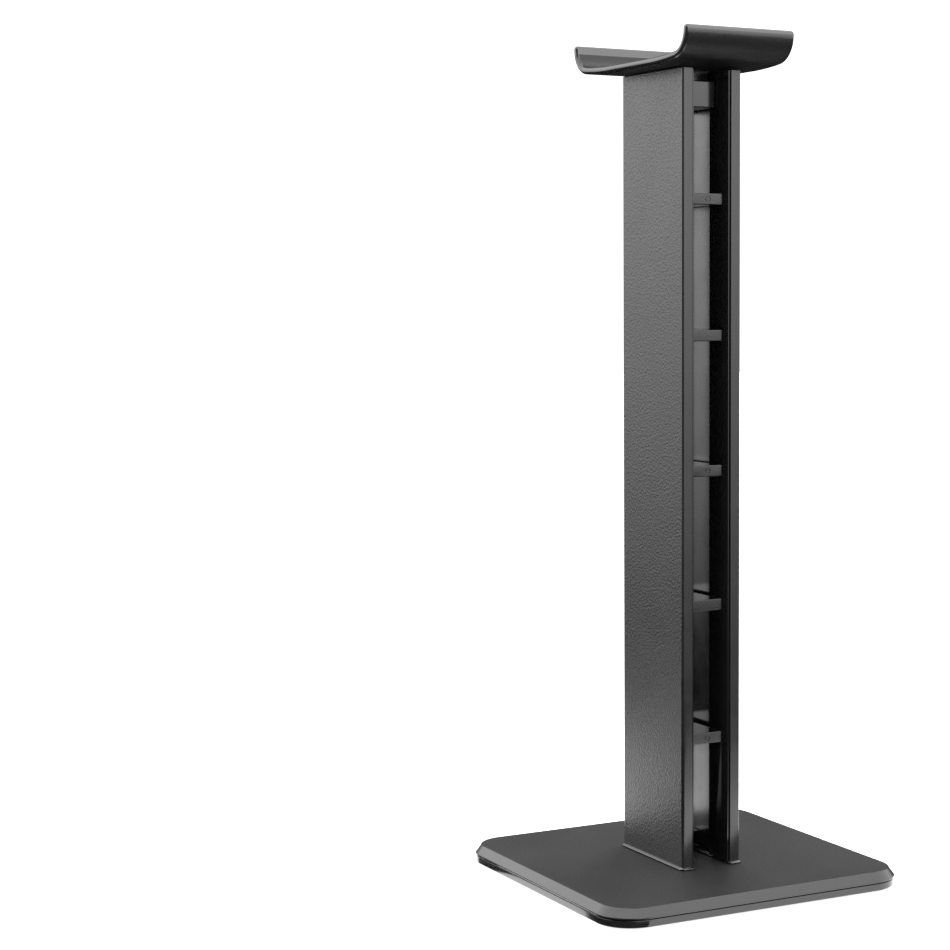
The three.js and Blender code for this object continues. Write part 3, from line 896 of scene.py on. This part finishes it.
NEAR_DARK = Vector((-0.83, -0.56))   # beside the camera, unlit too
RIGHT_SIDE = Vector((0.866, 0.5))    # the studio gets dimmer this way
BACK_SHARE = 0.85                    # brightness at the far end of LIGHT_AXIS

# Sine of the height above the horizon and brightness there, as polished faces mirror it.
STUDIO_GRADE = [(-1.0, 0.004), (-0.21, 0.004), (-0.19, 0.09), (-0.15, 0.12), (-0.115, 0.27),
                (-0.066, 0.40), (-0.022, 0.54), (0.021, 0.68), (0.063, 0.8), (0.15, 0.92),
                (0.5, 1.0), (1.0, 0.8)]
BACK_FLOOR_EDGE = -0.134             # behind the stand everything lower than this is dark
FLOOR_EDGE_FADE = 0.003
FAR_DARK_LEFT = 0.06                 # brightness left in the middle of the two dark sectors
NEAR_DARK_LEFT = 0.03
SECTOR_FADE = (0.60, 0.85)           # cosines at which a sector starts and is fully dark
SIDE_BRIGHT, SIDE_DIM = 1.3, 0.7     # brightness on the left and on the right
BACK_FADE = (-0.3, 0.7)
BEHIND_FADE = (0.2, 0.6)


def floor_material():
    material, tree, shader = new_material("floor_paper")
    point = object_point(tree)
    mottled = noise(tree, point, 0.05, 3.0)
    tree.links.new(blend_colours(tree, mottled, (0.85, 0.85, 0.85), (0.87, 0.87, 0.87)),
                   shader.inputs["Base Color"])
    shader.inputs["Roughness"].default_value = 0.9
    shader.inputs["Specular IOR Level"].default_value = 0.1
    shader.inputs["Emission Color"].default_value = (1, 1, 1, 1)
    shader.inputs["Emission Strength"].default_value = FLOOR_GLOW
    return material


def position_along(tree, point, axis):
    """How far a point or direction reaches along a horizontal axis."""
    split = tree.nodes.new("ShaderNodeSeparateXYZ")
    tree.links.new(point, split.inputs["Vector"])
    along_x = combine(tree, "MULTIPLY", split.outputs["X"], axis.x)
    along_y = combine(tree, "MULTIPLY", split.outputs["Y"], axis.y)
    return combine(tree, "ADD", along_x, along_y)


def table_material(name, glow, dim_share):
    """Lit table top as polished parts mirror it; it is dimmer in front of the stand."""
    material, tree, shader = new_material(name)
    shader.inputs["Base Color"].default_value = (0, 0, 0, 1)
    shader.inputs["Emission Color"].default_value = (1, 1, 1, 1)
    along = position_along(tree, object_point(tree), LIGHT_AXIS)
    strength = ramp(tree, along, glow * dim_share, glow, -TABLE_DIM_FROM - TABLE_DIM_FADE,
                    -TABLE_DIM_FROM + TABLE_DIM_FADE)
    tree.links.new(strength, shader.inputs["Emission Strength"])
    return material


def table_outline(axis, near, far, half_width, shift, z):
    """Strip with round ends that runs beside a horizontal axis from near to far."""
    outline = rounded_outline(shift - half_width, shift + half_width, near, far,
                              half_width * 0.98)
    across = Vector((axis.y, -axis.x))
    return [(*(axis * v + across * u), z) for u, v in outline]


def add_floor():
    """Wide pale floor for the eye; glossy surfaces mirror only the lit patches of table."""
    below = -0.05 * MM
    floor = loft("floor", [[(x, y, z) for x, y in
                            ((-FLOOR_HALF, -FLOOR_HALF), (FLOOR_HALF, -FLOOR_HALF),
                             (FLOOR_HALF, FLOOR_HALF), (-FLOOR_HALF, FLOOR_HALF))]
                           for z in (-20 * MM, below)])
    levels = (-20.1 * MM, below - 0.01 * MM)
    front = loft("table_front", [table_outline(LIGHT_AXIS, -TABLE_REACH, TABLE_OVERLAP,
                                               TABLE_HALF_WIDTH, 0, z) for z in levels])
    rear = loft("table_rear", [table_outline(LIGHT_AXIS, -TABLE_OVERLAP, TABLE_REACH, TABLE_HALF_WIDTH,
                                             TABLE_REAR_SHIFT, z - 0.1 * MM) for z in levels])
    behind = loft("table_behind", [table_outline(DARK_SIDE, BEHIND_NEAR, BEHIND_FAR,
                                                 BEHIND_HALF_WIDTH, 0, z) for z in levels])
    paint(floor, [floor_material()])
    glow = table_material("table_glow", TABLE_GLOW, TABLE_DIM_SHARE)
    paint(front, [glow])
    paint(rear, [glow])
    paint(behind, [table_material("table_glow_behind", BEHIND_GLOW, 1.0)])
    floor.visible_glossy = False
    for card in (front, rear, behind):
        card.visible_camera = False
        card.visible_diffuse = False
        card.visible_shadow = False


def studio_world():
    """Even soft light; what glossy surfaces mirror is graded by height and dark on two sides."""
    world = bpy.data.worlds.new("studio")
    bpy.context.scene.world = world
    world.use_nodes = True
    tree = world.node_tree
    tree.nodes.clear()
    output = tree.nodes.new("ShaderNodeOutputWorld")
    path = tree.nodes.new("ShaderNodeLightPath")
    direction = tree.nodes.new("ShaderNodeTexCoord")
    split = tree.nodes.new("ShaderNodeSeparateXYZ")
    tree.links.new(direction.outputs["Generated"], split.inputs["Vector"])

    grading = tree.nodes.new("ShaderNodeValToRGB")
    elements = grading.color_ramp.elements
    while len(elements) > 1:
        elements.remove(elements[-1])
    for index, (height, grey) in enumerate(STUDIO_GRADE):
        position = (height + 1) / 2
        element = elements[0] if index == 0 else elements.new(position)
        element.position = position
        element.color = (grey, grey, grey, 1)
    tree.links.new(ramp(tree, split.outputs["Z"], 0.0, 1.0, -1.0, 1.0), grading.inputs["Fac"])

    def toward(axis):
        return position_along(tree, direction.outputs["Generated"], axis)

    far_share = ramp(tree, toward(DARK_SIDE), 1.0, FAR_DARK_LEFT, *SECTOR_FADE)
    near_share = ramp(tree, toward(NEAR_DARK), 1.0, NEAR_DARK_LEFT, *SECTOR_FADE)
    side_share = ramp(tree, toward(RIGHT_SIDE), SIDE_BRIGHT, SIDE_DIM, -1.0, 1.0)
    back_share = ramp(tree, toward(LIGHT_AXIS), 1.0, BACK_SHARE, *BACK_FADE)
    above_edge = ramp(tree, split.outputs["Z"], 0.0, 1.0, BACK_FLOOR_EDGE - FLOOR_EDGE_FADE,
                      BACK_FLOOR_EDGE + FLOOR_EDGE_FADE)
    not_behind = ramp(tree, toward(LIGHT_AXIS), 1.0, 0.0, *BEHIND_FADE)
    brightness = combine(tree, "MAXIMUM", above_edge, not_behind)
    for share in (far_share, near_share, side_share, back_share):
        brightness = combine(tree, "MULTIPLY", brightness, share)

    def background(colour, strength):
        node = tree.nodes.new("ShaderNodeBackground")
        if isinstance(strength, (int, float)):
            node.inputs["Strength"].default_value = strength
        else:
            tree.links.new(strength, node.inputs["Strength"])
        if isinstance(colour, tuple):
            node.inputs["Color"].default_value = colour
        else:
            tree.links.new(colour, node.inputs["Color"])
        return node.outputs["Background"]

    def choose(factor, first, second):
        node = tree.nodes.new("ShaderNodeMixShader")
        tree.links.new(factor, node.inputs["Fac"])
        tree.links.new(first, node.inputs[1])
        tree.links.new(second, node.inputs[2])
        return node.outputs["Shader"]

    plain = background((1, 1, 1, 1), FILL_STRENGTH)
    seen = background((1, 1, 1, 1), BACKDROP_STRENGTH)
    strength = combine(tree, "MULTIPLY", brightness, MIRROR_STRENGTH)
    mirrored_light = background(grading.outputs["Color"], strength)
    lit = choose(path.outputs["Is Glossy Ray"], plain, mirrored_light)
    final = choose(path.outputs["Is Camera Ray"], lit, seen)
    tree.links.new(final, output.inputs["Surface"])


# ------------------------------------------------------------------ build
add_camera()
build_base_top()
build_base_cover()
build_feet()
build_screws()
build_panels()
build_core()
build_cradle()
dress_hidden_parts()
add_floor()
studio_world()

scene = bpy.context.scene
scene.view_settings.view_transform = "Standard"
scene.view_settings.look = "None"
